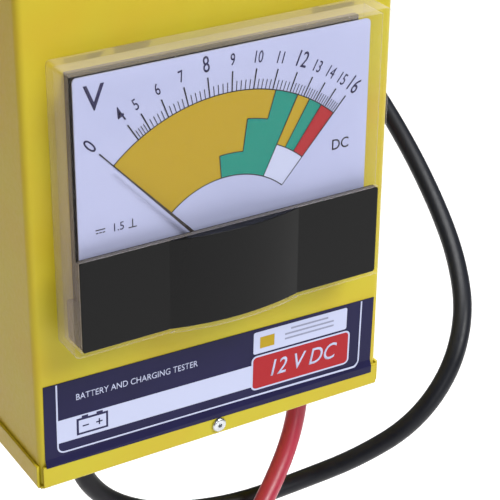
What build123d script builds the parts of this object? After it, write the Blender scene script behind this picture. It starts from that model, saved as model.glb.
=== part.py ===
from build123d import *
import math
import os

# A hand-carried battery and charging tester: folded sheet case, moving-coil voltmeter, load element,
# load switch, and two leads with spring clamps that grip the handle's legs.
# While it is drawn, x runs across the case from its middle, y from front to back through its
# middle, and z is the height above its underside. Everything is then lowered, so that the origin
# is the middle of the hand grip.

# Case, millimetres
case_width = 139.0
case_depth = 90.0
case_height = 250.0
sheet = 1.0
bend_radius = 2.5
return_width = 13.0
skirt_height = 8.7
skirt_gap = 0.1
corner_gap = 0.8
front_y = -case_depth / 2
back_y = case_depth / 2
skirt_y = front_y - skirt_gap - sheet
rivet_low = 4.2
rivet_high = case_height - rivet_low

# Rivets, screws and nuts
rivet_head_radius = 2.75
rivet_body_radius = 1.6
screw_radius = 1.5
screw_head_radius = 3.0
stud_radius = 2.0

# Handle
handle_half_width = 52.0
rod_radius = 4.0
rod_bend = 12.0
grip_height = 292.0
grip_radius = 10.5
grip_half_length = 38.0

# Meter
meter_x = -0.4
meter_width = 120.0
meter_height = 100.0
meter_depth = 13.4
meter_bottom = 55.9
cover_wall = 2.3
cover_front = 2.0
mask_top = 90.8
mask_wall = 2.0
bulge_chord = 50.0
bulge_rise = 3.5
dial_width = 110.0
dial_bottom = 62.0
dial_top = 151.5
dial_setback = 5.2
pivot_z = 74.5
needle_length = 60.0
needle_start = 42.9
needle_gap = 1.5
drum_width = 84.0
drum_bottom = 59.0
drum_top = 123.0
drum_depth = 28.0
meter_front = front_y - meter_depth
meter_mid_z = meter_bottom + meter_height / 2
dial_y = meter_front + dial_setback

# Movement
yoke_front = -42.0
yoke_length = 14.0
bore_radius = 10.5
core_radius = 7.5
coil_inner = 8.1
coil_outer = 9.9
shaft_radius = 1.0
tip_radius = 0.55
tip_bore = 0.6

# Label
label_width = 134.0
label_height = 31.8
label_middle = 23.0
label_tilt = 1.05
label_skin = 0.25

# Load switch
switch_z = 205.0
neck_radius = 10.8
button_radius = 8.4
button_travel = 4.0
button_gap = 0.1

# Load element
element_left = -48.0
element_pitch = 16.0
element_runs = 7
element_low = 38.0
element_high = 162.0
strip_width = 14.0
strip_thickness = 0.9
strip_y = 21.0

# Leads and their grommets
lead_radius = 3.75
lead_hole_radius = 6.5
black_exit = (-45.0, -19.0)
red_exit = (50.5, -22.0)
splice_z = 7.0
black_route = [
    (-45, -19, splice_z), (-45, -19, -12), (-37, -19, -29.5), (-21, -19, -43), (1, -18.5, -52),
    (26, -19.5, -56), (50, -24, -51.5), (70, -35, -41), (88, -46, -25), (104, -47, -6),
    (118, -36, 10), (129, -16, 21), (139, 10, 30), (144.5, 41, 46), (143, 70, 66),
    (136, 95, 88), (126, 116, 111), (116, 132, 135), (106, 143, 160), (97, 149.5, 186),
    (89, 151, 212), (81.8, 145, 238), (75.5, 127, 258), (67.8, 98, 266), (61.4, 68, 266),
]
red_route = [
    (50.5, -22, splice_z), (50.5, -22, -11), (44, -26.5, -28), (31, -34.5, -40),
    (14, -45, -49), (-8, -54, -57), (-33, -59, -62), (-58, -56, -61), (-80, -44, -52),
    (-94, -23, -36), (-99, 3, -19), (-101, 30, -1), (-101, 57, 20), (-101, 82, 44),
    (-101, 104, 70), (-101, 123, 97), (-99.5, 138, 126), (-97, 147, 155), (-93, 151, 184),
    (-88, 151, 212), (-81.8, 145, 238), (-75.5, 127, 258), (-67.8, 98, 266), (-61.4, 68, 266),
]

# Spring clamps: drawn shut about their pin, jaws towards +x, tails towards -x
clamp_pin_y = 34.0
clamp_height = 266.0
clamp_width = 18.8
clamp_sheet = 1.6
inner_width = 15.6
ear_sheet = 1.4
ear_radius = 5.0
pin_radius = 2.5
pin_gap = 0.05
jaw_length = 42.0
tail_start = (-12.0, 12.0)
tail_end = (-66.0, 30.0)
clamp_rest = 6.4
contact_sheet = 0.8
contact_gap = 0.05
ferrule_wall = 0.85
ferrule_length = 10.0
coil_radius = 4.4
coil_wire = 1.3
coil_span = 5.8


def block(x0, x1, y0, y1, z0, z1):
    size = (x1 - x0, y1 - y0, z1 - z0)
    return Pos((x0 + x1) / 2, (y0 + y1) / 2, (z0 + z1) / 2) * Box(*size)


def rod_y(x, z, y0, y1, radius):
    """Round bar along y."""
    return Pos(x, (y0 + y1) / 2, z) * Rot(90, 0, 0) * Cylinder(radius, abs(y1 - y0))


def rod_z(x, y, z0, z1, radius):
    """Round bar along z."""
    return Pos(x, y, (z0 + z1) / 2) * Cylinder(radius, abs(z1 - z0))


def cone_y(x, z, y0, y1, radius0, radius1):
    """Cone along y, radius0 at y0 and radius1 at the higher y1."""
    return Pos(x, (y0 + y1) / 2, z) * Rot(-90, 0, 0) * Cone(radius0, radius1, y1 - y0)


def nut_y(x, z, y0, y1, flats, hole):
    body = extrude(RegularPolygon(flats / 2, 6, major_radius=False), y1 - y0)
    return Pos(x, y1, z) * Rot(90, 0, 0) * body - rod_y(x, z, y0 - 1, y1 + 1, hole)


def nut_z(x, y, z0, z1, flats, hole):
    body = extrude(RegularPolygon(flats / 2, 6, major_radius=False), z1 - z0)
    return Pos(x, y, z0) * body - rod_z(x, y, z0 - 1, z1 + 1, hole)


def ring_z(x, y, z0, z1, outer, inner):
    return rod_z(x, y, z0, z1, outer) - rod_z(x, y, z0 - 1, z1 + 1, inner)


def save(name, shape):
    """Lower a finished node so that the grip's middle is the origin, and write it."""
    solids = shape if isinstance(shape, list) else [shape]
    placed = [Pos(0, 0, -grip_height) * s for item in solids for s in item.solids()]
    whole = placed[0] if len(placed) == 1 else Compound(children=placed)
    export_step(whole, os.path.join("parts", name + ".step"))


# Case

def case_body():
    outline = RectangleRounded(case_width, case_depth, bend_radius)
    hollow = RectangleRounded(case_width - 2 * sheet, case_depth - 2 * sheet, bend_radius - sheet)
    opening = Pos(0, back_y) * Rectangle(case_width - 2 * return_width, 4 * sheet)
    body = Pos(0, 0, sheet) * extrude(outline - hollow - opening, case_height - 2 * sheet)
    body -= block(meter_x - drum_width / 2 - 0.5, meter_x + drum_width / 2 + 0.5,
                  front_y - 1, front_y + 3, drum_bottom - 0.5, drum_top + 0.5)
    for x, z in meter_stud_places():
        body -= rod_y(x, z, front_y - 1, front_y + 3, stud_radius + 0.2)
    body -= rod_y(0, switch_z, front_y - 1, front_y + 3, neck_radius + 0.2)
    for x, z in back_screw_places():
        body -= rod_y(x, z, back_y - 3, back_y + 1, screw_radius)
    for place in skirt_rivet_places(rivet_low) + skirt_rivet_places(rivet_high):
        body -= place * rod_y(0, 0, -4, 4, rivet_body_radius)
    return body


def skirt(half, reach):
    """Folded edge along y whose outer face is at x = half, round at its fold, from -reach to reach."""
    fold = Pos(half - sheet, sheet) * Circle(sheet)
    keep = Pos(half - sheet / 2, skirt_height / 2) * Rectangle(sheet, skirt_height)
    flat = Pos(half - sheet / 2, (sheet + skirt_height) / 2) * Rectangle(sheet, skirt_height - sheet)
    return Rot(90, 0, 0) * extrude((fold & keep) + flat, reach, both=True)


def pan(top):
    """Shallow folded tray with four separate skirts and open corners, its plate at z 0 to sheet."""
    half_x = case_width / 2 + skirt_gap + sheet
    half_y = case_depth / 2 + skirt_gap + sheet
    shape = block(-half_x + sheet, half_x - sheet, -half_y + sheet, half_y - sheet, 0, sheet)
    for turn in (0, 180):
        shape += Rot(0, 0, turn) * skirt(half_x, half_y - sheet - corner_gap)
        shape += Rot(0, 0, turn + 90) * skirt(half_y, half_x - sheet - corner_gap)
    if top:
        shape = Pos(0, 0, case_height) * Rot(180, 0, 0) * shape
    return shape


def skirt_rivet_places(z):
    """Frames on the four skirts whose -y axis points outwards, origin on the skirt's outer face."""
    half_x = case_width / 2 + skirt_gap + sheet
    half_y = case_depth / 2 + skirt_gap + sheet
    return [
        Pos(0.3, -half_y, z),
        Pos(0, half_y, z) * Rot(0, 0, 180),
        Pos(-half_x, 0, z) * Rot(0, 0, -90),
        Pos(half_x, 0, z) * Rot(0, 0, 90),
    ]


def rivet():
    """Blind rivet on -y: domed head with a mandrel dimple, body through both sheets, set tail."""
    head = rod_y(0, 0, -1.2, 0, rivet_head_radius)
    head = fillet(head.edges().filter_by_position(Axis.Y, -1.3, -1.1), 0.9)
    body = rod_y(0, 0, 0, 2 * sheet + skirt_gap, rivet_body_radius)
    tail = rod_y(0, 0, 2 * sheet + skirt_gap, 2 * sheet + skirt_gap + 1.4, 2.2)
    return head + body + tail - rod_y(0, 0, -2, 0.4, 0.8)


def bottom_tray():
    tray = pan(False)
    for x, y in (black_exit, red_exit):
        tray -= rod_z(x, y, -1, sheet + 1, lead_hole_radius)
    for x in (-56.0, 56.0):
        tray -= rod_z(x, strip_y, -1, sheet + 1, stud_radius)
    for place in skirt_rivet_places(rivet_low):
        tray -= place * rod_y(0, 0, -1, 2, rivet_body_radius)
    return tray


def top_cap():
    cap = pan(True)
    for x in (-handle_half_width, handle_half_width):
        cap -= rod_z(x, 0, case_height - 2 * sheet, case_height + sheet, rod_radius)
    for place in skirt_rivet_places(rivet_high):
        cap -= place * rod_y(0, 0, -1, 2, rivet_body_radius)
    return cap


def back_screw_places():
    return [(x, z) for x in (-62.0, 62.0) for z in (22.0, 125.0, 228.0)]


def back_panel():
    panel = block(-67, 67, back_y, back_y + 1.2, 11, case_height - 10)
    panel = fillet(panel.edges().filter_by(Axis.Y), 3)
    slot = extrude(SlotOverall(40, 3.6), 4, both=True)
    for x in (-27.0, 27.0):
        for row in range(12):
            panel -= Pos(x, back_y, 48 + 14 * row) * Rot(90, 0, 0) * slot
    for x, z in back_screw_places():
        panel -= cone_y(x, z, back_y, back_y + 1.2, screw_radius, screw_head_radius)
    return panel


def back_screw(x, z):
    head = cone_y(x, z, back_y, back_y + 1.2, screw_radius, screw_head_radius)
    slot = block(x - 2.2, x + 2.2, back_y + 0.6, back_y + 2, z - 0.35, z + 0.35)
    cross = block(x - 0.35, x + 0.35, back_y + 0.6, back_y + 2, z - 2.2, z + 2.2)
    return head + rod_y(x, z, back_y - 7, back_y, screw_radius) - slot - cross


def front_label():
    """Printed film on the case's face, tilted a little, that laps over the tray's edge."""
    film = Box(label_width, 4, label_height)
    film = Pos(-0.3, front_y, label_middle) * Rot(0, label_tilt, 0) * film
    lap = skirt_height + 0.1
    ridge = [
        (front_y, 60), (front_y, lap + 2.2), (skirt_y, lap), (skirt_y, 0),
        (skirt_y - label_skin, 0), (skirt_y - label_skin, lap), (front_y - label_skin, lap + 2.2),
        (front_y - label_skin, 60),
    ]
    profile = Plane.YZ * make_face(Polyline(*ridge, close=True))
    return film & extrude(profile, case_width, both=True)


# Handle

def handle_rod():
    x, low = handle_half_width, case_height - 13
    path = FilletPolyline((-x, 0, low), (-x, 0, grip_height), (x, 0, grip_height), (x, 0, low),
                          radius=rod_bend)
    return sweep(Plane(path @ 0, z_dir=path % 0) * Circle(rod_radius), path)


def handle_grip():
    """Moulded sleeve, a little fuller in the middle, with collars at its ends."""
    half, r = grip_half_length, grip_radius
    outline = Polyline((-half, rod_radius), (-half, r - 0.8), (-half + 3, r - 0.8))
    swell = ThreePointArc((-half + 3, r - 1.8), (0, r), (half - 3, r - 1.8))
    end = Polyline((half - 3, r - 1.8), (half - 3, r - 0.8), (half, r - 0.8), (half, rod_radius))
    step = Line((-half + 3, r - 0.8), (-half + 3, r - 1.8))
    base = Line((half, rod_radius), (-half, rod_radius))
    face = make_face([outline, step, swell, end, base])
    return Pos(0, 0, grip_height) * revolve(Plane.XZ * face, Axis.X)


def handle_nuts():
    nuts = []
    for x in (-handle_half_width, handle_half_width):
        nuts.append(nut_z(x, 0, case_height, case_height + 5, 13, rod_radius))
        nuts.append(nut_z(x, 0, case_height - sheet - 6.5, case_height - sheet, 13, rod_radius))
    return nuts


# Meter

def bulge(depth_in, z0, z1):
    """Round-fronted segment that stands proud of the meter's front; depth_in sets it back."""
    half = bulge_chord / 2
    radius = (half ** 2 + bulge_rise ** 2) / (2 * bulge_rise)
    disc = rod_z(meter_x, meter_front - bulge_rise + radius, z0, z1, radius - depth_in)
    limit = block(meter_x - half, meter_x + half, meter_front - 2 * bulge_rise,
                  meter_front + depth_in, z0, z1)
    return disc & limit


def meter_cover():
    x0, x1 = meter_x - meter_width / 2, meter_x + meter_width / 2
    z0, z1 = meter_bottom, meter_bottom + meter_height
    shell = block(x0, x1, meter_front, front_y, z0, z1)
    shell = fillet(shell.edges().filter_by(Axis.Y), 1.5)
    shell = fillet(shell.edges().group_by(Axis.Y)[0], 0.7)
    floor = meter_bottom + 1.6
    shell += bulge(0, z0, floor)
    shell -= block(x0 + cover_wall, x1 - cover_wall, meter_front + cover_front, front_y + 1,
                   floor, z1 - cover_wall)
    shell -= block(x0 + cover_wall, x1 - cover_wall, meter_front - 1, meter_front + 3,
                   floor, mask_top + 0.1)
    return shell


def meter_mask():
    """Black lower front: open at its back, its top wall stops short so the needle can pass."""
    half = meter_width / 2 - cover_wall - 0.2
    x0, x1 = meter_x - half, meter_x + half
    z0 = meter_bottom + 1.7
    mask = block(x0, x1, meter_front, front_y - 2.6, z0, mask_top)
    mask = fillet(mask.edges().filter_by(Axis.Y), 1.0)
    mask += bulge(0, z0, mask_top)
    lip = mask_top - mask_wall
    mask -= block(x0 + mask_wall, x1 - mask_wall, meter_front + mask_wall, front_y,
                  z0 + 1.5, lip)
    mask -= bulge(mask_wall, z0 + 1.5, lip)
    mask -= block(x0 - 1, x1 + 1, meter_front + 2.4, front_y, z0 + 15, mask_top + 1)
    return mask


def meter_stud_places():
    return [(meter_x + x, z) for x in (-50.4, 50.4) for z in (66.0, 147.0)]


def dial_screw_places():
    return [(meter_x + x, 76.0) for x in (-48.0, 48.0)]


def meter_housing():
    """Back plate under the cover and a boxed rear part that passes through the case."""
    left, right = meter_x - drum_width / 2, meter_x + drum_width / 2
    rear = front_y + drum_depth
    housing = block(meter_x - 54, meter_x + 54, front_y - 2.5, front_y, 60, 151)
    box = block(left, right, front_y - 2.5, rear, drum_bottom + 1.2, drum_top)
    box = fillet(box.edges().filter_by(Axis.Y), 5)
    housing += box
    inside = block(left + 2, right - 2, front_y - 3, rear - 2, drum_bottom + 3.2, drum_top - 2)
    housing -= fillet(inside.edges().filter_by(Axis.Y), 3)
    for x, z in meter_stud_places():
        housing -= rod_y(x, z, front_y - 1.5, front_y + 1, stud_radius)
    for x, z in dial_screw_places():
        housing += rod_y(x, z, dial_y + 0.6, front_y - 2.5, 3.0)
        housing -= rod_y(x, z, dial_y, front_y - 4, 1.0)
    for x in terminal_places():
        housing -= rod_y(x, 104, rear - 3, rear + 1, 3.0)
    return housing


def dial_plate():
    dial = block(meter_x - dial_width / 2, meter_x + dial_width / 2, dial_y, dial_y + 0.6,
                 dial_bottom, dial_top)
    dial = fillet(dial.edges().filter_by(Axis.Y), 1.5)
    dial -= block(meter_x - 15, meter_x + 15, dial_y - 1, dial_y + 2, pivot_z - 5, pivot_z + 5)
    for x, z in dial_screw_places():
        dial -= rod_y(x, z, dial_y - 1, dial_y + 2, 1.0)
    return dial


def dial_screw(x, z):
    head = rod_y(x, z, dial_y - 1.1, dial_y, 2.2)
    slot = block(x - 3, x + 3, dial_y - 2, dial_y - 0.6, z - 0.3, z + 0.3)
    return head + rod_y(x, z, dial_y, dial_y + 3.6, 1.0) - slot


def turned(shape):
    """Turn a piece drawn at mid-air zero, pointing up, to the needle's place at 0 volts."""
    return Pos(meter_x, 0, pivot_z) * Rot(0, -needle_start, 0) * shape


def needle():
    y = dial_y - needle_gap
    blade = make_face(Polyline((-0.8, 0), (-0.45, 34), (-0.2, needle_length), (0.2, needle_length),
                               (0.45, 34), (0.8, 0), close=True))
    tail = make_face(Polyline((-0.7, 0), (0.7, 0), (0.7, -12), (-0.7, -12), close=True))
    flat = Pos(0, y - 0.15, 0) * Rot(90, 0, 0) * extrude(blade + tail, 0.3, both=False)
    shape = flat + rod_y(0, 0, y - 0.9, y + 0.5, 2.4) + rod_y(0, -10.5, y - 0.7, y + 0.3, 1.5)
    return turned(shape - rod_y(0, 0, y - 2, y + 2, shaft_radius))


def coil_ends():
    return yoke_front - 1.4, yoke_front + yoke_length + 1.4


def needle_shaft():
    front, rear = coil_ends()
    nose = rod_y(0, 0, -56.1, front, shaft_radius) + rod_y(0, 0, -57.1, -56.1, tip_radius)
    heel = rod_y(0, 0, rear, -22.8, shaft_radius) + rod_y(0, 0, -22.8, -21.8, tip_radius)
    return [turned(nose), turned(heel)]


def moving_coil():
    """Rectangular winding round the core, its plane level at mid-scale."""
    front, rear = coil_ends()
    loop = block(-coil_outer, coil_outer, front, rear, -2.2, 2.2)
    loop -= block(-coil_inner, coil_inner, front + 1, rear - 1, -4, 4)
    return turned(loop)


def spiral(y0, y1):
    """Flat hairspring of half turns that grow outwards, with its collet on the shaft."""
    radii = [1.9 + 0.55 * k for k in range(7)]
    wires, x, side = [], 0.0, 1
    for k, r in enumerate(radii):
        centre = x - side * r if k else 0.0
        start = Vector(centre + side * r, 0)
        top = Vector(centre, side * r)
        end = Vector(centre - side * r, 0)
        wires.append(ThreePointArc(start, top, end))
        x, side = centre - side * r, -side
    ribbon = trace(wires, line_width=0.22)
    band = Pos(0, y1, 0) * Rot(90, 0, 0) * extrude(ribbon, y1 - y0)
    collet = rod_y(0, 0, y0, y1, 1.95) - rod_y(0, 0, y0 - 1, y1 + 1, shaft_radius)
    return turned(band + collet)


def magnet_yoke():
    yoke = block(meter_x - 26, meter_x + 26, yoke_front, yoke_front + yoke_length,
                 pivot_z - 12.2, pivot_z + 13)
    return yoke - rod_y(meter_x, pivot_z, yoke_front - 1, -20, bore_radius)


def magnet_core():
    rear = yoke_front + yoke_length
    core = rod_y(meter_x, pivot_z, yoke_front, rear, core_radius)
    for side in (-1, 1):
        tie = block(meter_x - 1.5, meter_x + 1.5, yoke_front + 4, rear - 4,
                    *sorted((pivot_z + side * 6, pivot_z + side * (bore_radius - 0.2))))
        core += tie
    return core


def movement_bridges():
    front = block(meter_x - 14, meter_x + 14, -58.4, -57.3, pivot_z - 3.5, pivot_z + 3.5)
    rear = block(meter_x - 22, meter_x + 22, -21.8, -20.6, pivot_z - 3.5, pivot_z + 3.5)
    for side in (-1, 1):
        front += block(*sorted((meter_x + side * 11.2, meter_x + side * 14)),
                       -57.4, yoke_front, pivot_z - 3.5, pivot_z + 3.5)
        rear += block(*sorted((meter_x + side * 16, meter_x + side * 22)),
                      yoke_front + yoke_length, -21.7, pivot_z - 3.5, pivot_z + 3.5)
    front -= rod_y(meter_x, pivot_z, -60, -57, 1.6)
    rear -= rod_y(meter_x, pivot_z, -22, -20, 1.6)
    return [front, rear]


def jewel_screws():
    front = rod_y(meter_x, pivot_z, -59.2, -56.4, 1.6) - rod_y(meter_x, pivot_z, -57.6, -56, tip_bore)
    rear = rod_y(meter_x, pivot_z, -22.5, -19.6, 1.6) - rod_y(meter_x, pivot_z, -23, -21.3, tip_bore)
    slot = block(meter_x - 2, meter_x + 2, -60, -58.7, pivot_z - 0.25, pivot_z + 0.25)
    return [front - slot, rear]


def terminal_places():
    return [meter_x - 20, meter_x + 20]


def meter_studs():
    return [rod_y(x, z, front_y - 1.5, front_y + 13, stud_radius) for x, z in meter_stud_places()]


def meter_nuts():
    nuts = []
    for x, z in meter_stud_places():
        washer = rod_y(x, z, front_y + sheet, front_y + sheet + 0.8, 4.5)
        nut = nut_y(x, z, front_y + sheet + 0.8, front_y + sheet + 4, 7, stud_radius)
        nuts.append(washer - rod_y(x, z, front_y, front_y + 3, stud_radius) + nut)
    return nuts


def meter_terminals():
    rear = front_y + drum_depth
    studs = []
    for x in terminal_places():
        stud = rod_y(x, 104, rear - 4, rear + 11, 3.0)
        studs.append(stud + nut_y(x, 104, rear, rear + 4, 10, 3.0))
    return studs


# Load switch

def switch_body():
    body = block(-16, 16, front_y + sheet, -18, switch_z - 16, switch_z + 16)
    body = fillet(body.edges().filter_by(Axis.Y), 2)
    body += rod_y(0, switch_z, -50, front_y + sheet, neck_radius)
    body -= rod_y(0, switch_z, -51, -43.4, button_radius + button_gap)
    body -= rod_y(0, switch_z, -43.5, -28, 9.8)
    for x in (-9.0, 9.0):
        body -= rod_y(x, switch_z, -22, -17, 3.0)
    return body


def switch_nut():
    ring = rod_y(0, switch_z, -48.6, front_y, 14.5) - rod_y(0, switch_z, -50, -40, neck_radius)
    ring = chamfer(ring.edges().group_by(Axis.Y)[0], 0.6)
    for k in range(12):
        notch = block(-0.9, 0.9, -50, front_y - 0.8, 13.7, 16)
        ring -= Pos(0, 0, switch_z) * Rot(0, 30 * k, 0) * notch
    return ring


def switch_button():
    cap = rod_y(0, switch_z, -57.5, -42, button_radius)
    cap = fillet(cap.edges().group_by(Axis.Y)[0], 1.6)
    return cap + rod_y(0, switch_z, -43.2, -41.4, 9.6)


def coil_spring(radius, wire, pitch, turns):
    path = Helix(pitch=pitch, height=pitch * turns, radius=radius)
    return sweep(Plane(path @ 0, z_dir=path % 0) * Circle(wire / 2), path, is_frenet=True)


def switch_spring():
    spring = coil_spring(6.0, 1.0, 2.4, 5)
    return Pos(0, -28.6, switch_z) * Rot(90, 0, 0) * spring


def switch_terminals():
    return [rod_y(x, switch_z, -22, -8, 3.0) + nut_y(x, switch_z, -18, -14, 10, 3.0)
            for x in (-9.0, 9.0)]


# Load element and its wiring

def strip_runs():
    return [element_left + element_pitch * k for k in range(element_runs)]


def load_element():
    """Resistance strip folded up and down between the two boards."""
    half, flat = strip_thickness / 2, None
    for k, x in enumerate(strip_runs()):
        low = element_low - (8 if k == 0 else 0)
        high = element_high + (8 if k == element_runs - 1 else 0)
        run = Pos(x, (low + high) / 2) * Rectangle(strip_thickness, high - low)
        flat = run if flat is None else flat + run
        if k < element_runs - 1:
            r, mid = element_pitch / 2, x + element_pitch / 2
            level = element_high if k % 2 == 0 else element_low
            ring = Circle(r + half) - Circle(r - half)
            side = 1 if k % 2 == 0 else -1
            keep = Pos(0, side * (r + 1) / 2) * Rectangle(4 * r, r + 1)
            flat += Pos(mid, level) * (ring & keep)
    solid = Rot(90, 0, 0) * extrude(flat, strip_width / 2, both=True)
    return Pos(0, strip_y, 0) * solid


def element_boards():
    boards = []
    for z in (46.0, 152.0):
        board = block(-61, 61, strip_y - 11, strip_y + 11, z, z + 2)
        for x in strip_runs():
            board -= block(x - 0.65, x + 0.65, strip_y - 7.2, strip_y + 7.2, z - 1, z + 3)
        for x in (-56.0, 56.0):
            board -= rod_z(x, strip_y, z - 1, z + 3, stud_radius)
        boards.append(board)
    return boards


def element_rods():
    rods = []
    for x in (-56.0, 56.0):
        rod = rod_z(x, strip_y, 0.2, 158, stud_radius)
        for z0, z1 in ((sheet, 4.2), (42.8, 46), (48, 51.2), (148.8, 152), (154, 157.2)):
            rod += nut_z(x, strip_y, z0, z1, 7, stud_radius)
        rods.append(rod)
    return rods


def bus_straps():
    """Copper straps: element start to the black lug, element end to the switch."""
    low = block(-49.65, -48.45, 8, strip_y + 5, 30, 38)
    high = block(48.45, 49.65, strip_y - 5, strip_y + 5, 163, 192)
    high += block(-14, 49.65, strip_y - 5, strip_y + 5, 192, 193.2)
    high += block(-14, -4, -12.6, strip_y + 5, 192, 193.2)
    high += block(-14, -4, -13.8, -12.6, 192, 212) - rod_y(-9, switch_z, -15, -11, 3.0)
    return [low, high]


def cable_lugs():
    red = block(4, 14, -13.8, -12.6, 194, 212) - rod_y(9, switch_z, -15, -11, 3.0)
    red += block(7, 11, -12.7, -8, 194, 199)
    black = block(-50.85, -49.65, 0, 16, 30, 38)
    return [red, black]


def tube(points, radius, bend=None):
    """Round cable of straight runs and tangent arcs, each as large as its runs allow."""
    ends = [Vector(*p) for p in points]
    runs = [b - a for a, b in zip(ends, ends[1:])]
    radii = []
    for first, second in zip(runs, runs[1:]):
        turn = math.radians(first.get_angle(second))
        radii.append(bend or 0.45 * min(first.length, second.length) / math.tan(turn / 2))
    path = FilletPolyline(*points, radius=radii)
    section = Plane(path @ 0, z_dir=path % 0) * Circle(radius)
    solid = sweep(section, path)
    due = math.pi * radius ** 2 * path.length
    print(f"tube length {path.length:.1f} mm, volume {solid.volume / due:.4f} of due, "
          f"radii {min(radii):.0f} to {max(radii):.0f} mm")
    return solid


def black_tail():
    x, y = black_exit
    path = [(x, y, splice_z), (x, y, 18), (-50.2, -9, 34), (-50.2, 0, 34)]
    return tube(path, lead_radius, 8)


def red_tail():
    x, y = red_exit
    path = [(x, y, splice_z), (x, y, 130), (34, -10, 170), (9, -6, 186), (9, -6, 194)]
    return tube(path, lead_radius, 9)


def grommets():
    rings = []
    for x, y in (black_exit, red_exit):
        ring = ring_z(x, y, -2.5, 0, 8.5, lead_radius)
        ring += ring_z(x, y, 0, sheet, lead_hole_radius, lead_radius)
        rings.append(ring + ring_z(x, y, sheet, 3.5, 8.5, lead_radius))
    return rings


def lead_clips():
    clips = []
    for x, y in (black_exit, red_exit):
        foot = block(x - 4, x + 4, y - 12, y - 9.5, sheet, 14)
        foot += block(x - 4, x + 4, y - 10, y - 4, 6, 14)
        clip = ring_z(x, y, 6, 14, lead_radius + 1.8, lead_radius)
        clips.append(clip + foot - rod_z(x, y, 0, 20, lead_radius))
    return clips


def meter_wires():
    left, right = terminal_places()
    rear = front_y + drum_depth
    start = rear + 6
    plus = [(right, start, 99), (right, start, 90), (30, 2, 84), (30, 2, 180), (15.2, -13, 200)]
    minus = [(left, start, 99), (left, start, 90), (-30, 2, 84), (-38, 4, 50), (-47.3, 9.5, 36)]
    return [tube(plus, 1.1, 5), tube(minus, 1.1, 5)]


# Spring clamps

def tail_point(t):
    """Point on the tail's middle line, t from 0 at its start to 1 at its end."""
    (x0, z0), (x1, z1) = tail_start, tail_end
    return x0 + t * (x1 - x0), z0 + t * (z1 - z0)


def inside(points, distance):
    """The same bent line, shifted towards the clamp's middle plane, for lines that run to -x."""
    normals = []
    for (x0, z0), (x1, z1) in zip(points, points[1:]):
        normals.append(Vector(z0 - z1, x1 - x0).normalized())
    shifted = []
    for (x, z), a, b in zip(points, normals[:1] + normals, normals + normals[-1:]):
        step = (a + b) * (distance / (1 + a.dot(b)))
        shifted.append((x + step.X, z + step.Y))
    return shifted


def bent_strip(points, width, thickness):
    """Strip of sheet that follows points in x and z, centred on y."""
    profile = trace(Polyline(*points), line_width=thickness)
    return Rot(90, 0, 0) * extrude(profile, width / 2, both=True)


def clamp_half(width, ear_outer):
    """Stamped half: nose, jaw flanges with teeth, ears round the pin, and tail."""
    nose = [(jaw_length, 2.4), (jaw_length - 4, 8), (20, 10.5), (0, 9.5), tail_start, tail_end]
    half = bent_strip(nose, width, clamp_sheet)
    side = [(12, 10.4), (14, 2.2)]
    for k in range(13):
        side += [(15 + 2 * k, 0.5), (16 + 2 * k, 1.9)]
    side += [(jaw_length, 0.5), (jaw_length, 2.4), (jaw_length - 4, 8), (20, 10.4)]
    flange = Rot(90, 0, 0) * extrude(make_face(Polyline(*side, close=True)), ear_sheet)
    ear = Circle(ear_radius) + make_face(Polyline((-ear_radius, 0), (-8, 10.9), (10, 9.9),
                                                  (ear_radius, 0), close=True))
    lug = Rot(90, 0, 0) * extrude(ear, ear_sheet)
    for y in (ear_outer, -ear_outer + ear_sheet):
        half += Pos(0, y, 0) * flange
        half += Pos(0, y, 0) * lug
    return half


def clamp_grip(width, height, drop):
    """Soft sleeve over a tail, rounded all round, its middle a little inside the tail."""
    (x0, z0), (x1, z1) = inside([tail_point(0.1), tail_point(1.07)], drop)
    sleeve = Box(math.hypot(x1 - x0, z1 - z0), width, height)
    sleeve = fillet(sleeve.edges().filter_by(Axis.X), height / 3)
    sleeve = fillet(sleeve.edges().group_by(Axis.X)[0], 2.2)
    slope = math.degrees(math.atan2(z1 - z0, x0 - x1))
    return Pos((x0 + x1) / 2, 0, (z0 + z1) / 2) * Rot(0, slope, 0) * sleeve


def clamp_contact():
    """Copper strip under the plate, from the cable's ferrule to the nose."""
    line = [(36, 8.3), (20, 10.5), (0, 9.5), tail_start, tail_point(0.55)]
    return bent_strip(inside(line, (clamp_sheet + contact_sheet) / 2 + contact_gap), 9, contact_sheet)


def ferrule(route):
    """Crimped ring round the last few millimetres of a lead."""
    end, before = Vector(*route[-1]), Vector(*route[-2])
    ring = Circle(lead_radius + ferrule_wall) - Circle(lead_radius)
    return extrude(Plane(end, z_dir=before - end) * ring, ferrule_length)


def to_world(shape, side):
    """Stand a clamp on the handle's leg: jaws forward, side +1 right or -1 left."""
    turn = Pos(handle_half_width, clamp_pin_y, clamp_height) * Rot(0, 0, -90) * Rot(-90, 0, 0)
    placed = turn * shape
    return placed if side > 0 else mirror(placed, Plane.YZ)


def outer(shape):
    return Rot(0, -clamp_rest, 0) * shape


def inner(shape):
    return Rot(0, clamp_rest, 0) * mirror(shape, Plane.XY)


def clamp_spring():
    """Torsion spring round the pin, with an arm that bears on each half."""
    first, last, arm = 14.4, 17.3, 16.0
    turns = (3 * 360 + 180 - first - last) / 360
    coil = coil_spring(coil_radius, coil_wire, coil_span / turns, turns)
    spring = Pos(0, -coil_span / 2, 0) * Rot(0, first - 90, 0) * Rot(-90, 0, 0) * coil
    for y, angle, side in ((-coil_span / 2, first, 1), (coil_span / 2, last, -1)):
        bend = math.radians(angle)
        start = Vector(coil_radius * math.sin(bend), y, side * coil_radius * math.cos(bend))
        along = Vector(-math.cos(bend), 0, side * math.sin(bend))
        root = Plane(start - along * coil_wire * 0.6, z_dir=along)
        spring += extrude(root * Circle(coil_wire / 2), arm)
    return spring


def pin_bar(radius, length):
    return Rot(90, 0, 0) * Cylinder(radius, length)


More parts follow.
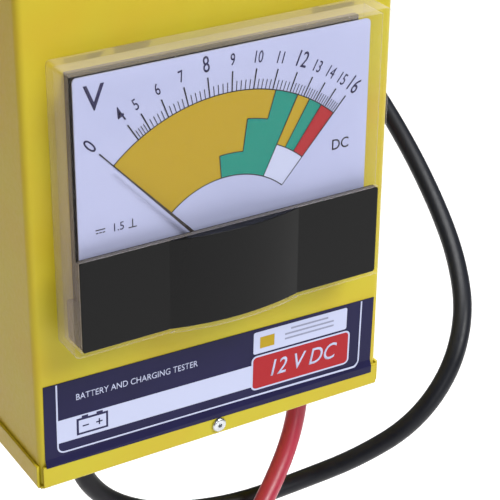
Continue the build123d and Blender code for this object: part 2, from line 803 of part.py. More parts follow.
def make_clamp(colour, side, route, lead):
    """One spring clamp. Its outer half is fixed to the lead; its inner half turns on the pin."""
    fixed = outer(clamp_half(clamp_width, clamp_width / 2)) - pin_bar(pin_radius, 2 * clamp_width)
    moving = inner(clamp_half(inner_width, inner_width / 2))
    moving -= pin_bar(pin_radius + pin_gap, 2 * clamp_width)
    pin = pin_bar(pin_radius, clamp_width + 2.4)
    for y in (-1, 1):
        pin += Pos(0, y * (clamp_width / 2 + 0.7), 0) * pin_bar(3.6, 1.4)
    contact = to_world(outer(clamp_contact()), side) + ferrule(route)
    grip = to_world(outer(clamp_grip(clamp_width + 4, 13.6, 4.2)), side)
    moving_grip = inner(clamp_grip(inner_width + 4, 9, 1.9)) - moving
    save(colour + "_clamp_fixed_half", to_world(fixed, side))
    save(colour + "_clamp_moving_half", to_world(moving, side))
    save(colour + "_clamp_pin", to_world(pin, side))
    save(colour + "_clamp_spring", to_world(clamp_spring(), side))
    save(colour + "_clamp_contact", contact)
    save(colour + "_clamp_fixed_grip", grip - to_world(fixed, side) - contact - lead)
    save(colour + "_clamp_moving_grip", to_world(moving_grip, side))


def main():
    os.makedirs("parts", exist_ok=True)
    low, high = skirt_rivet_places(rivet_low), skirt_rivet_places(rivet_high)
    save("case_body", case_body())
    save("bottom_tray", bottom_tray())
    save("top_cap", top_cap())
    save("back_panel", back_panel())
    save("front_label", front_label())
    save("tray_rivets", [place * rivet() for place in low])
    save("cap_rivets", [place * rivet() for place in high])
    save("back_screws", [back_screw(x, z) for x, z in back_screw_places()])
    save("handle_rod", handle_rod())
    save("handle_grip", handle_grip())
    save("handle_nuts", handle_nuts())
    save("meter_cover", meter_cover())
    save("meter_mask", meter_mask())
    save("meter_housing", meter_housing())
    save("dial_plate", dial_plate())
    save("dial_screws", [dial_screw(x, z) for x, z in dial_screw_places()])
    save("needle", needle())
    save("needle_shaft", needle_shaft())
    save("moving_coil", moving_coil())
    save("hairsprings", [spiral(-47, -46.2), spiral(-24.4, -23.6)])
    save("magnet_yoke", magnet_yoke())
    save("magnet_core", magnet_core())
    save("movement_bridges", movement_bridges())
    save("jewel_screws", jewel_screws())
    save("meter_studs", meter_studs())
    save("meter_nuts", meter_nuts())
    save("meter_terminals", meter_terminals())
    save("switch_body", switch_body())
    save("switch_nut", switch_nut())
    save("switch_button", switch_button())
    save("switch_spring", switch_spring())
    save("switch_terminals", switch_terminals())
    save("load_element", load_element())
    save("element_boards", element_boards())
    save("element_rods", element_rods())
    save("bus_straps", bus_straps())
    save("cable_lugs", cable_lugs())
    save("red_tail", red_tail())
    save("black_tail", black_tail())
    save("lead_grommets", grommets())
    save("lead_clips", lead_clips())
    save("meter_wires", meter_wires())
    for colour, side, route in (("red", -1, red_route), ("black", 1, black_route)):
        lead = tube(route, lead_radius)
        save(colour + "_lead", lead)
        make_clamp(colour, side, route, lead)


main()
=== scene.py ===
import math
import bpy
from mathutils import Matrix, Vector


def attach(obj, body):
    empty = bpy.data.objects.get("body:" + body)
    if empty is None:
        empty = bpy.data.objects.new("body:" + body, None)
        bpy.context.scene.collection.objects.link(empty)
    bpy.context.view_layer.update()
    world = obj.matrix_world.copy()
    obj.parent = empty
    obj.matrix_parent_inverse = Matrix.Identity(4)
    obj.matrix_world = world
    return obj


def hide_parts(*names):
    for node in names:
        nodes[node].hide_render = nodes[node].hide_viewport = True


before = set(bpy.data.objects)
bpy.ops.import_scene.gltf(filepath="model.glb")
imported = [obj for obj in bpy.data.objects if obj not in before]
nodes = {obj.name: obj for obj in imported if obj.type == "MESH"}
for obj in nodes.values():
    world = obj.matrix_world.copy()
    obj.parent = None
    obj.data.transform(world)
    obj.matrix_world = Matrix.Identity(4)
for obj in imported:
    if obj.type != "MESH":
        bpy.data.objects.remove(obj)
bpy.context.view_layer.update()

print("frame loaded:", len(nodes), "pieces")

# places are in millimetres, from the middle of the case's underside
gripHeight = 292.0


def place(x, y, z):
    return Vector((x, y, z - gripHeight)) / 1000


def clearSelection():
    if bpy.context.object and bpy.context.object.mode != "OBJECT":
        bpy.ops.object.mode_set(mode="OBJECT")
    bpy.ops.object.select_all(action="DESELECT")


def linear(code):
    parts = [int(code[i:i + 2], 16) / 255 for i in (1, 3, 5)]
    parts = [c / 12.92 if c <= 0.04045 else ((c + 0.055) / 1.055) ** 2.4 for c in parts]
    return (*parts, 1.0)


cameraSetup = {
    "spot": (-265.8, -508.2, 355.1),
    "right": (0.8587, -0.5124, 0.0086),
    "up": (0.2316, 0.4030, 0.8854),
    "lens": 126.7,
    "sensor": 36,
    "reach": (0.05, 30),
}

studio = {
    # in metres: the tester is held up, well above the floor
    "floorMiddle": (0, 0.6, -0.9),
    "floorSize": 14.0,
    "floorRoughness": 0.9,
    "aim": (0, 0, -0.2),
    "floorColour": "#fbfbfb",
    "worldColour": "#ffffff",
    "worldStrength": 0.17,
    "lamps": (
        # name, place, size, power in watts, colour
        ("keyLamp", (1.3, -2.0, 2.2), 1.6, 104, "#fffffc"),
        ("topLamp", (0.6, 0.9, 2.6), 2.4, 125, "#ffffff"),
        ("frontLamp", (-0.6, -2.6, 0.5), 1.2, 14, "#ffffff"),
        ("sideLamp", (-2.2, 0.2, 0.6), 1.2, 4, "#ff7a30"),
    ),
}


def makeCamera(setup):
    bpy.ops.object.camera_add()
    camera = bpy.context.object
    camera.name = "studioCamera"
    right = Vector(setup["right"]).normalized()
    back = right.cross(Vector(setup["up"])).normalized()
    turn = Matrix((right, back.cross(right), back)).transposed().to_4x4()
    camera.matrix_world = Matrix.Translation(place(*setup["spot"])) @ turn
    camera.data.lens = setup["lens"]
    camera.data.sensor_width = setup["sensor"]
    camera.data.clip_start, camera.data.clip_end = setup["reach"]
    bpy.context.scene.camera = camera


def makeStudio(setup):
    scene = bpy.context.scene
    scene.view_settings.view_transform = "Standard"
    world = bpy.data.worlds.new("paleRoom")
    scene.world = world
    world.use_nodes = True
    sky = world.node_tree.nodes["Background"]
    sky.inputs["Color"].default_value = linear(setup["worldColour"])
    sky.inputs["Strength"].default_value = setup["worldStrength"]
    bpy.ops.mesh.primitive_plane_add(size=setup["floorSize"], location=setup["floorMiddle"])
    floor = bpy.context.object
    floor.name = "studioFloor"
    paper = bpy.data.materials.new("floorPaper")
    paper.use_nodes = True
    shader = paper.node_tree.nodes["Principled BSDF"]
    shader.inputs["Base Color"].default_value = linear(setup["floorColour"])
    shader.inputs["Roughness"].default_value = setup["floorRoughness"]
    floor.data.materials.append(paper)
    for name, spot, size, power, colour in setup["lamps"]:
        turn = (Vector(setup["aim"]) - Vector(spot)).to_track_quat("-Z", "Y").to_euler()
        bpy.ops.object.light_add(type="AREA", location=spot, rotation=turn)
        lamp = bpy.context.object
        lamp.name = name
        lamp.data.shape = "DISK"
        lamp.data.size = size
        lamp.data.energy = power
        lamp.data.color = linear(colour)[:3]


clearSelection()
makeCamera(cameraSetup)
makeStudio(studio)
print("camera, floor and lamps placed")


def addNode(tree, kind, links=None, **settings):
    node = tree.nodes.new(kind)
    for key, value in settings.items():
        setattr(node, key, value)
    for socket, source in (links or {}).items():
        if isinstance(source, bpy.types.NodeSocket):
            tree.links.new(source, node.inputs[socket])
        else:
            node.inputs[socket].default_value = source
    return node


def addSurface(name, colour, settings=None, grain=None, tone=None, edge=0):
    # grain: size and depth in mm, roughness swing; tone: size in mm, second colour, share;
    # edge: radius in mm of the soft corner that catches the light
    skin = bpy.data.materials.new(name)
    skin.use_nodes = True
    tree = skin.node_tree
    shader = tree.nodes["Principled BSDF"]
    shader.inputs["Base Color"].default_value = linear(colour)
    for key, value in (settings or {}).items():
        shader.inputs[key].default_value = value
    where = addNode(tree, "ShaderNodeTexCoord").outputs["Object"] if grain or tone else None
    corner = None
    if edge:
        corner = addNode(tree, "ShaderNodeBevel", {"Radius": edge / 1000}, samples=6).outputs["Normal"]
        tree.links.new(corner, shader.inputs["Normal"])
    if grain:
        size, depth, swing = grain
        noise = addNode(tree, "ShaderNodeTexNoise", {"Vector": where, "Scale": 1000 / size, "Detail": 3.0})
        bump = addNode(tree, "ShaderNodeBump", {"Height": noise.outputs["Fac"], "Distance": depth / 1000})
        if corner:
            tree.links.new(corner, bump.inputs["Normal"])
        tree.links.new(bump.outputs["Normal"], shader.inputs["Normal"])
        if swing:
            rough = shader.inputs["Roughness"].default_value
            spread = addNode(tree, "ShaderNodeMapRange", {
                "Value": noise.outputs["Fac"], "From Min": 0.3, "From Max": 0.7,
                "To Min": rough - swing, "To Max": rough + swing})
            tree.links.new(spread.outputs["Result"], shader.inputs["Roughness"])
    if tone:
        size, second, share = tone
        cloud = addNode(tree, "ShaderNodeTexNoise", {"Vector": where, "Scale": 1000 / size, "Detail": 2.0})
        part = addNode(tree, "ShaderNodeMapRange", {
            "Value": cloud.outputs["Fac"], "From Min": 0.35, "From Max": 0.75,
            "To Min": 0.0, "To Max": share})
        mix = addNode(tree, "ShaderNodeMix", {
            0: part.outputs["Result"], 6: linear(colour), 7: linear(second)}, data_type="RGBA")
        tree.links.new(mix.outputs[2], shader.inputs["Base Color"])
    return skin


# stoved enamel on steel sheet: even and glossy, a faint orange peel, the tint uneven over a hand's width
enamel = addSurface("yellowStovedEnamel", "#bbae22", {"Roughness": 0.4, "Specular IOR Level": 0.3},
                    grain=(1.6, 0.012, 0.05), tone=(38, "#bd9a18", 0.6), edge=0.5)
# printed polyester film: deep ink under a satin face that ripples a little over the sheet behind it
film = addSurface("blueLaminatedFilm", "#1c1a42", {"Roughness": 0.4, "Specular IOR Level": 0.15},
                  grain=(2.5, 0.006, 0.0), tone=(22, "#161534", 0.6))
# bright zinc plate: a cool grey mirror, dulled in fine patches by its crystals
zinc = addSurface("brightZincPlate", "#c8ccd0", {"Metallic": 1.0, "Roughness": 0.28},
                  grain=(0.8, 0.004, 0.06), tone=(3, "#9fa3a8", 0.6), edge=0.15)
# polished chromium: a clear dark-and-light mirror with slight smears from handling
chrome = addSurface("polishedChromePlate", "#d9dce0", {"Metallic": 1.0, "Roughness": 0.09},
                    grain=(9, 0.0, 0.04))
# moulded rubber: soft and dull, with a fine spark-eroded texture
blackRubber = addSurface("mouldedBlackRubber", "#1b1b1d", {"Roughness": 0.62},
                         grain=(0.5, 0.02, 0.05), tone=(14, "#29282a", 0.6), edge=0.3)
# moulded black styrene: glossy, faint flow marks, soft corners that show as thin bright lines
blackPlastic = addSurface("mouldedBlackStyrene", "#0d0d0e", {"Roughness": 0.16, "Specular IOR Level": 0.14},
                          grain=(6, 0.01, 0.05), edge=0.45)
# enamelled aluminium: matt, a cool off-white that is a little uneven
dialEnamel = addSurface("whiteEnamelledPlate", "#b0b5d8", {"Roughness": 0.55, "Specular IOR Level": 0.3},
                        grain=(0.6, 0.004, 0.03), tone=(45, "#a6acd0", 0.7))
# blackened aluminium: a dull near-black with no bright edges
needleInk = addSurface("blackenedAluminium", "#231b1c", {"Roughness": 0.5}, grain=(0.5, 0.002, 0.05))
# hardened wire: a grey sheen with fine drawing marks
springSteel = addSurface("hardenedSteelWire", "#8f9196", {"Metallic": 1.0, "Roughness": 0.3},
                         grain=(0.5, 0.002, 0.06))
# bare phosphor bronze: a warm metal, browned in patches by air
copper = addSurface("barePhosphorBronze", "#c08a5a", {"Metallic": 1.0, "Roughness": 0.32},
                    grain=(1.0, 0.006, 0.06), tone=(5, "#8d5f3c", 0.6))
# pressed and sintered iron: dark, rough and a little porous
magnetIron = addSurface("sinteredIron", "#4b4b4e", {"Metallic": 0.6, "Roughness": 0.6},
                        grain=(0.6, 0.02, 0.05))
# stamped brass: yellow and satin, with darker tarnish
brass = addSurface("stampedBrass", "#c4a65e", {"Metallic": 1.0, "Roughness": 0.3},
                   grain=(1.2, 0.004, 0.05), tone=(6, "#9c7f43", 0.5))
# moulded polyamide: a clean gloss with a soft bright rim
redPlastic = addSurface("mouldedRedPolyamide", "#a81c18", {"Roughness": 0.28, "IOR": 1.53},
                        grain=(0.8, 0.004, 0.04), edge=0.4)
# rolled nickel-chromium strip: straw and blue-grey oxide clouds left by the heat
strip = addSurface("oxidisedResistanceStrip", "#6d655e", {"Metallic": 1.0, "Roughness": 0.42},
                   grain=(3.0, 0.01, 0.08), tone=(12, "#3f4450", 0.9))
# resin-bonded paper: matt brown with short darker fibres
laminate = addSurface("brownPaperLaminate", "#7a5636", {"Roughness": 0.6},
                      grain=(1.0, 0.02, 0.05), tone=(2.5, "#5f4129", 0.7))
# extruded soft vinyl: satin, with a lengthwise unevenness and a soft broad highlight
redSheath = addSurface("redSoftVinylSheath", "#a62840", {"Roughness": 0.4, "IOR": 1.53},
                       grain=(2.2, 0.02, 0.05), tone=(9, "#962339", 0.6))
blackSheath = addSurface("blackSoftVinylSheath", "#0f1119", {"Roughness": 0.42, "Specular IOR Level": 0.25},
                         grain=(2.2, 0.02, 0.05), tone=(9, "#191b22", 0.6))
# natural nylon: milky and waxy
nylon = addSurface("naturalNylon", "#d8d4c6", {"Roughness": 0.45}, grain=(0.7, 0.004, 0.04))
# nickel on pressed steel: a warm grey mirror, cloudy where it was formed
nickel = addSurface("nickelPlatedSheet", "#b9bbbd", {"Metallic": 1.0, "Roughness": 0.24},
                    grain=(1.5, 0.006, 0.06), tone=(7, "#93969a", 0.6), edge=0.25)
# dipped vinyl: thick and satin, slightly lumpy from the dip
redVinyl = addSurface("redDippedVinyl", "#a01c24", {"Roughness": 0.42},
                      grain=(1.1, 0.03, 0.05), tone=(8, "#8a1a20", 0.6))
blackVinyl = addSurface("blackDippedVinyl", "#18181a", {"Roughness": 0.45},
                        grain=(1.1, 0.03, 0.05), tone=(8, "#222225", 0.6))


def addInk(name, colour):
    # screen-printed ink: flat and satin, a little rough where the mesh laid it thinner
    return addSurface(name, colour, {"Roughness": 0.5, "Specular IOR Level": 0.25},
                      grain=(0.4, 0.003, 0.04))


inkBlack = addInk("blackScreenInk", "#1c1a22")
inkYellow = addInk("yellowScreenInk", "#ab8f0c")
inkGreen = addInk("greenScreenInk", "#008274")
inkRed = addInk("redScreenInk", "#a0161f")
inkWhite = addInk("whiteScreenInk", "#b9bfdc")
inkNavy = addInk("navyScreenInk", "#1d1b46")
inkGrey = addInk("greyScreenInk", "#8b8fa8")

# clear moulded acrylic: hardly seen face on, a pale pinkish veil at its rims and walls
acrylicSetup = {
    "colour": "#efe6e4", "roughness": 0.05, "ior": 1.49,
    "edge": 0.6,  # in mm
    "blend": 0.35, "clearBelow": 0.3, "faceVeil": 0.012, "rimVeil": 0.75,
}


def makeAcrylic(setup):
    skin = bpy.data.materials.new("clearMouldedAcrylic")
    skin.use_nodes = True
    tree = skin.node_tree
    shader = tree.nodes["Principled BSDF"]
    shader.inputs["Base Color"].default_value = linear(setup["colour"])
    shader.inputs["Roughness"].default_value = setup["roughness"]
    shader.inputs["IOR"].default_value = setup["ior"]
    soft = addNode(tree, "ShaderNodeBevel", {"Radius": setup["edge"] / 1000}, samples=6)
    tree.links.new(soft.outputs["Normal"], shader.inputs["Normal"])
    rim = addNode(tree, "ShaderNodeLayerWeight", {
        "Blend": setup["blend"], "Normal": soft.outputs["Normal"]})
    veil = addNode(tree, "ShaderNodeMapRange", {
        "Value": rim.outputs["Facing"], "From Min": setup["clearBelow"],
        "To Min": setup["faceVeil"], "To Max": setup["rimVeil"]})
    tree.links.new(veil.outputs["Result"], shader.inputs["Alpha"])
    return skin


acrylic = makeAcrylic(acrylicSetup)

finishes = {
    enamel: ("case_body", "bottom_tray", "top_cap", "back_panel"),
    film: ("front_label",),
    zinc: ("tray_rivets", "cap_rivets", "back_screws", "handle_nuts", "dial_screws", "meter_studs",
           "meter_nuts", "element_rods", "switch_terminals", "meter_terminals", "jewel_screws"),
    chrome: ("handle_rod",),
    blackRubber: ("handle_grip", "lead_grommets", "meter_wires"),
    acrylic: ("meter_cover",),
    blackPlastic: ("meter_mask", "meter_housing", "switch_body", "switch_nut"),
    dialEnamel: ("dial_plate",),
    needleInk: ("needle",),
    springSteel: ("needle_shaft", "switch_spring", "red_clamp_spring", "black_clamp_spring"),
    copper: ("hairsprings", "moving_coil", "bus_straps", "cable_lugs",
             "red_clamp_contact", "black_clamp_contact"),
    magnetIron: ("magnet_yoke", "magnet_core"),
    brass: ("movement_bridges",),
    redPlastic: ("switch_button",),
    strip: ("load_element",),
    laminate: ("element_boards",),
    redSheath: ("red_tail",),
    blackSheath: ("black_tail",),
    nylon: ("lead_clips",),
    nickel: ("red_clamp_fixed_half", "red_clamp_moving_half", "red_clamp_pin",
             "black_clamp_fixed_half", "black_clamp_moving_half", "black_clamp_pin"),
    redVinyl: ("red_clamp_fixed_grip", "red_clamp_moving_grip"),
    blackVinyl: ("black_clamp_fixed_grip", "black_clamp_moving_grip"),
}
for skin, names in finishes.items():
    for name in names:
        piece = nodes[name]
        piece.data.materials.clear()
        piece.data.materials.append(skin)
print("materials on the frame's pieces:", len(finishes))


# soft vinyl leads, from the tray's grommets round to the clamps on the handle's legs
leads = {
    "diameter": 7.5,
    "length": 0.65,  # in metres
    "clampParts": ("fixed_half", "moving_half", "pin", "spring", "contact", "fixed_grip", "moving_grip"),
    "blackRoute": (
        (-45, -19, 7), (-45, -19, -12), (-37, -19, -29.5), (-21, -19, -43), (1, -18.5, -52),
        (26, -19.5, -56), (50, -24, -51.5), (70, -35, -41), (88, -46, -25), (104, -47, -6),
        (118, -36, 10), (129, -16, 21), (139, 10, 30), (144.5, 41, 46), (143, 70, 66),
        (136, 95, 88), (126, 116, 111), (116, 132, 135), (106, 143, 160), (97, 149.5, 186),
        (89, 151, 212), (81.8, 145, 238), (75.5, 127, 258), (67.8, 98, 266), (61.4, 68, 266),
    ),
    "redRoute": (
        (50.5, -22, 7), (50.5, -22, -11), (44, -26.5, -28), (31, -34.5, -40), (14, -45, -49),
        (-8, -54, -57), (-33, -59, -62), (-58, -56, -61), (-80, -44, -52), (-94, -23, -36),
        (-99, 3, -19), (-101, 30, -1), (-101, 57, 20), (-101, 82, 44), (-101, 104, 70),
        (-101, 123, 97), (-99.5, 138, 126), (-97, 147, 155), (-93, 151, 184), (-88, 151, 212),
        (-81.8, 145, 238), (-75.5, 127, 258), (-67.8, 98, 266), (-61.4, 68, 266),
    ),
}


def makeLead(name, route, skin, colour):
    curve = bpy.data.curves.new(name, "CURVE")
    curve.dimensions = "3D"
    line = curve.splines.new("NURBS")
    line.points.add(len(route) - 1)
    for point, spot in zip(line.points, route):
        point.co = (*place(*spot), 1)
    line.order_u = 3
    line.use_endpoint_u = True
    line.resolution_u = 8
    curve.bevel_depth = leads["diameter"] / 2000
    curve.bevel_resolution = 7
    curve.use_fill_caps = True
    curve.materials.append(skin)
    lead = bpy.data.objects.new(name, curve)
    bpy.context.collection.objects.link(lead)
    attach(lead, "case")
    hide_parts(colour + "_lead")


makeLead("blackLead", leads["blackRoute"], blackSheath, "black")
makeLead("redLead", leads["redRoute"], redSheath, "red")
print("leads laid")


# height in mm of each ink layer's middle above the face under it, and an ink's thickness
inkLayers = {"ground": 0.03, "line": 0.08, "mark": 0.13, "top": 0.18}
inkThickness = 0.04


def makeGrid(steps, rows, skin, spot):
    # spot(t, s) gives the place in mm of each vertex, t and s running from 0 to 1
    clearSelection()
    bpy.ops.mesh.primitive_grid_add(x_subdivisions=steps, y_subdivisions=rows, size=1)
    piece = bpy.context.object
    for vertex in piece.data.vertices:
        vertex.co = place(*spot(vertex.co.x + 0.5, vertex.co.y + 0.5))
    piece.data.materials.append(skin)
    return piece


# a letter's size is this many times the height of its capitals
letterSize = 1.38


def makeText(body, height, skin, spot, narrow=1.0, bold=0.0, slant=0.0):
    # spot(u, v) gives the place in mm of a point of the flat lettering about its middle
    clearSelection()
    bpy.ops.object.text_add()
    piece = bpy.context.object
    words = piece.data
    words.body, words.size, words.offset, words.shear = body, height * letterSize, bold, slant
    words.align_x, words.align_y = "CENTER", "CENTER"
    words.resolution_u = 4
    bpy.ops.object.convert(target="MESH")
    piece = bpy.context.object
    for vertex in piece.data.vertices:
        vertex.co = place(*spot(vertex.co.x * narrow, vertex.co.y))
    piece.data.materials.append(skin)
    return piece


def makePlate(box, radius, skin, spot, corner=6):
    # flat box with rounded corners of that many points: box is u0, u1, v0, v1 in mm
    clearSelection()
    bpy.ops.mesh.primitive_circle_add(vertices=4 * corner, fill_type="NGON")
    piece = bpy.context.object
    u0, u1, v0, v1 = box
    middles = ((u1 - radius, v1 - radius), (u0 + radius, v1 - radius),
               (u0 + radius, v0 + radius), (u1 - radius, v0 + radius))
    for vertex in piece.data.vertices:
        side, step = divmod(vertex.index, corner)
        turn = math.radians(90 * (side + step / (corner - 1)))
        u, v = middles[side]
        vertex.co = place(*spot(u + radius * math.cos(turn), v + radius * math.sin(turn)))
    piece.data.materials.append(skin)
    return piece


def joinPrint(name, parts):
    clearSelection()
    for part in parts:
        part.select_set(True)
    bpy.context.view_layer.objects.active = parts[0]
    bpy.ops.object.join()
    piece = bpy.context.object
    piece.name = name
    bpy.ops.object.transform_apply(location=True, rotation=True, scale=True)
    bpy.ops.object.mode_set(mode="EDIT")
    bpy.ops.mesh.select_all(action="SELECT")
    bpy.ops.mesh.remove_doubles(threshold=2e-6)
    bpy.ops.object.mode_set(mode="OBJECT")
    bpy.ops.object.modifier_add(type="SOLIDIFY")
    wall = piece.modifiers[-1]
    wall.thickness = inkThickness / 1000
    wall.offset = 0
    bpy.ops.object.modifier_apply(modifier=wall.name)
    bpy.ops.object.mode_set(mode="EDIT")
    bpy.ops.mesh.select_all(action="SELECT")
    bpy.ops.mesh.normals_make_consistent(inside=False)
    bpy.ops.object.mode_set(mode="OBJECT")
    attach(piece, "case")


dialPrint = {
    "pivot": (-0.4, 74.5),
    "face": -53.2,
    "inner": 31.6, "outer": 61.5, "middle": 43.3, "lowStep": 39.8, "highStep": 51.3,
    "line": 0.35,
    "sectorStep": 1.5,  # in degrees
    # volts: angle in degrees from the right
    "marks": {0: 132.9, 4: 122.2, 5: 117.5, 6: 110.8, 7: 103.7, 8: 96.3, 9: 88.6, 10: 81.0, 11: 74.0,
              12: 67.4, 13: 61.8, 14: 56.9, 15: 52.4, 16: 48.0},
    "stepAngles": (94.5, 81.7, 72.8), "fanAngles": (64.2, 59.2, 54.0, 48.0),
    # how far out a tick ends, and its width
    "majorTick": (68.6, 0.45), "minorTick": (65.0, 0.25), "ticksPerVolt": 5,
    # height, radius and boldness of the numbers
    "largeMarks": (0, 4, 8, 12, 16),
    "largeNumber": (5.8, 73.0, 0.02), "smallNumber": (4.3, 72.4, 0.006), "numberNarrow": 0.66,
    # unit, accuracy class and kind of current: word, height, x, z, ink, boldness, narrowness
    "words": (
        ("V", 9.0, -48.3, 143.7, inkNavy, 0.06, 0.95),
        ("1.5", 3.0, -41.2, 97.7, inkNavy, 0.0, 0.9),
        ("DC", 4.0, 44.0, 108.0, inkBlack, 0.02, 0.9),
    ),
    # signs for direct current and for upright use: x, z, length, turn in degrees
    "bars": (
        (-47.6, 98.3, 3.4, 0), (-48.8, 97.2, 0.9, 0), (-47.6, 97.2, 0.9, 0),
        (-46.4, 97.2, 0.9, 0), (-36.0, 96.4, 3.0, 0), (-36.0, 97.9, 3.0, 90),
    ),
}


def makeDialPrint(setup):
    cx, cz = setup["pivot"]
    inner, outer, middle = setup["inner"], setup["outer"], setup["middle"]
    low, high = setup["lowStep"], setup["highStep"]
    marks = setup["marks"]
    start, end = marks[0], marks[16]
    a, b, c = setup["stepAngles"]
    d, e, f, g = setup["fanAngles"]
    lineFace = setup["face"] - inkLayers["line"]
    parts = []

    def polar(radius, angle, layer):
        turn = math.radians(angle)
        return cx + radius * math.cos(turn), setup["face"] - layer, cz + radius * math.sin(turn)

    def turned(x, z, u, v, angle):
        # the point (u, v) of a flat shape that is turned about its middle at (x, z)
        turn = math.radians(angle)
        return (x + u * math.cos(turn) - v * math.sin(turn), lineFace,
                z + u * math.sin(turn) + v * math.cos(turn))

    def sector(near, far, first, last, skin, layer=inkLayers["ground"]):
        steps = max(1, round(abs(first - last) / setup["sectorStep"]))
        parts.append(makeGrid(steps, 1, skin, lambda t, s: polar(
            near + (far - near) * s, first + (last - first) * t, layer)))

    def arcLine(radius, first, last):
        half = setup["line"] / 2
        sector(radius - half, radius + half, first, last, inkBlack, inkLayers["line"])

    def rayLine(near, far, angle, width=setup["line"]):
        half = math.degrees(width / (near + far))
        sector(near, far, angle + half, angle - half, inkBlack, inkLayers["mark"])

    def number(volts, angle):
        kind = "largeNumber" if volts in setup["largeMarks"] else "smallNumber"
        height, radius, bold = setup[kind]
        x, _, z = polar(radius, angle, 0)
        parts.append(makeText(str(volts), height, inkNavy, lambda u, v: turned(x, z, u, v, angle - 90),
                              setup["numberNarrow"], bold))

    for zone in ((inner, outer, start, a), (low, outer, a, b), (high, outer, b, c), (middle, outer, d, e)):
        sector(*zone, inkYellow)
    for zone in ((inner, low, a, b), (inner, high, b, c), (inner, outer, c, d), (middle, outer, e, f)):
        sector(*zone, inkGreen)
    sector(middle, outer, f, g, inkRed)
    sector(inner, middle, d, g, inkWhite)
    for arc in ((outer, start, end), (inner, start, end), (middle, d, g), (low, a, b), (high, b, c)):
        arcLine(*arc)
    for ray in ((inner, outer, start), (inner, low, a), (low, high, b), (high, outer, c),
                (inner, outer, d), (middle, outer, e), (middle, outer, f), (inner, outer, end)):
        rayLine(*ray)
    majorEnd, majorWidth = setup["majorTick"]
    minorEnd, minorWidth = setup["minorTick"]
    count = setup["ticksPerVolt"]
    for volts, angle in marks.items():
        rayLine(outer, majorEnd, angle, majorWidth)
        number(volts, angle)
        if volts + 1 in marks:
            for part in range(1, count):
                between = angle + (marks[volts + 1] - angle) * part / count
                rayLine(outer, minorEnd, between, minorWidth)
    for body, height, x, z, skin, bold, narrow in setup["words"]:
        parts.append(makeText(body, height, skin, lambda u, v: turned(x, z, u, v, 0), narrow, bold))
    for x, z, long, angle in setup["bars"]:
        parts.append(makeGrid(1, 1, inkBlack, lambda t, s: turned(
            x, z, (t - 0.5) * long, (s - 0.5) * setup["line"], angle)))
    joinPrint("dialPrint", parts)


makeDialPrint(dialPrint)
print("dial printed")


labelPrint = {
    "middle": (-0.3, 23.0), "tilt": 1.05,
    # the film's face is level down to flatAbove, then slopes out over the tray's edge to lapBelow
    "face": -45.25, "lapFace": -46.35, "flatAbove": 11.0, "lapBelow": 8.8,
    # the line round three sides
    "frame": {"left": -62.2, "right": 61.5, "bottom": -11.7, "top": 15.6, "waist": 2, "radius": 2.5,
              "width": 0.6, "layer": 0.07, "cornerSteps": 6, "footSteps": 24, "rows": 4},
    # boxes are left, right, bottom and top, from the film's middle
    "band": (-62.0, 14.8, -7.8, 1.3),
    "plate": (15.3, 55.3, 5.6, 14.6), "plateRadius": 0.8,
    "badge": (15.3, 56.3, -8.85, 4.15), "badgeRim": 0.7, "badgeRadius": 1.5,
    "sharpRadius": 0.05,
    # words: height, place, layer, narrowness, boldness and slant
    "badgeWord": ("12 V DC", 6.8, 35.9, -2.35, 0.18, 0.86, 0.05, 0.25),
    "caption": ("BATTERY AND CHARGING TESTER", 2.5, -31.4, 8.65, 0.05, 0.88, 0.01, 0),
    # a battery sign on the band, then a swatch and plain bars on the white plate
    "signs": (
        ((-55.0, -43.0, -6.6, 0.0), inkNavy, "line"), ((-54.2, -43.8, -5.8, -0.8), inkWhite, "mark"),
        ((-53.0, -50.6, 0.0, 0.8), inkNavy, "line"), ((-47.4, -45.0, 0.0, 0.8), inkNavy, "line"),
        ((-52.8, -50.4, -3.55, -3.05), inkNavy, "top"), ((-47.6, -45.2, -3.55, -3.05), inkNavy, "top"),
        ((-46.65, -46.15, -4.5, -2.1), inkNavy, "top"),
        ((18.0, 24.0, 7.6, 12.2), inkYellow, "line"),
        ((31.0, 47.0, 12.2, 12.9), inkGrey, "line"), ((28.5, 49.5, 10.3, 11.0), inkGrey, "line"),
        ((28.5, 49.5, 8.4, 9.1), inkGrey, "line"),
    ),
}


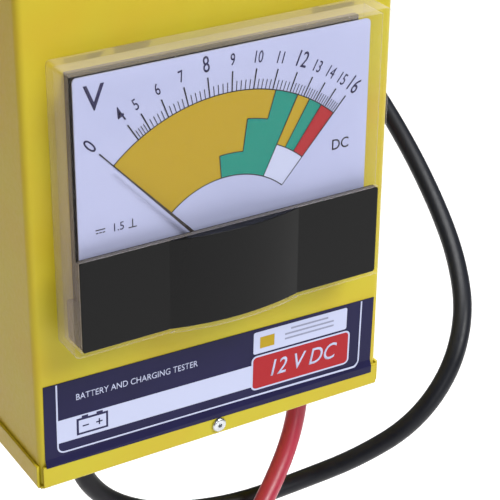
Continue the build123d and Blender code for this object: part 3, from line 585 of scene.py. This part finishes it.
def framePath(rim):
    # down the left side, along the foot and up the right side
    r, corner, foot = rim["radius"], rim["cornerSteps"], rim["footSteps"]
    left, right, bottom = rim["left"] + r, rim["right"] - r, rim["bottom"] + r
    turns = [k * math.pi / (2 * corner) for k in range(corner + 1)]
    path = [(rim["left"], rim["top"]), (rim["left"], rim["waist"])]
    path += [(left - r * math.cos(turn), bottom - r * math.sin(turn)) for turn in turns]
    path += [(left + (right - left) * k / foot, rim["bottom"]) for k in range(1, foot)]
    path += [(right + r * math.sin(turn), bottom - r * math.cos(turn)) for turn in turns]
    path += [(rim["right"], rim["waist"]), (rim["right"], rim["top"])]
    return path


def makeLabelPrint(setup):
    mx, mz = setup["middle"]
    tilt = math.radians(setup["tilt"])
    rim = setup["frame"]
    path = framePath(rim)
    parts = []

    def onFilm(layer, u0=0, v0=0):
        def spot(u, v):
            u, v = u0 + u, v0 + v
            z = mz - u * math.sin(tilt) + v * math.cos(tilt)
            lap = (setup["flatAbove"] - z) / (setup["flatAbove"] - setup["lapBelow"])
            y = setup["face"] + (setup["lapFace"] - setup["face"]) * min(max(lap, 0), 1)
            return mx + u * math.cos(tilt) + v * math.sin(tilt), y - layer, z
        return spot

    def alongFrame(t, s):
        k = round(t * (len(path) - 1))
        (ua, va), (ub, vb) = path[max(k - 1, 0)], path[min(k + 1, len(path) - 1)]
        long = math.hypot(ub - ua, vb - va)
        off = (s - 0.5) * rim["width"]
        return frameLine(path[k][0] - off * (vb - va) / long, path[k][1] + off * (ub - ua) / long)

    def addPlate(box, radius, skin, layer):
        parts.append(makePlate(box, radius, skin, onFilm(inkLayers[layer])))

    def addWord(body, height, u, v, layer, narrow, bold, slant):
        parts.append(makeText(body, height, inkWhite, onFilm(layer, u, v), narrow, bold, slant))

    frameLine = onFilm(rim["layer"])
    parts.append(makeGrid(len(path) - 1, rim["rows"], inkWhite, alongFrame))
    addPlate(setup["band"], setup["sharpRadius"], inkWhite, "ground")
    addPlate(setup["plate"], setup["plateRadius"], inkWhite, "ground")
    u0, u1, v0, v1 = setup["badge"]
    grow = setup["badgeRim"]
    addPlate((u0 - grow, u1 + grow, v0 - grow, v1 + grow), setup["badgeRadius"] + grow, inkWhite, "line")
    addPlate(setup["badge"], setup["badgeRadius"], inkRed, "mark")
    addWord(*setup["badgeWord"])
    addWord(*setup["caption"])
    for box, skin, layer in setup["signs"]:
        addPlate(box, setup["sharpRadius"], skin, layer)
    joinPrint("labelPrint", parts)


makeLabelPrint(labelPrint)
print("label printed")
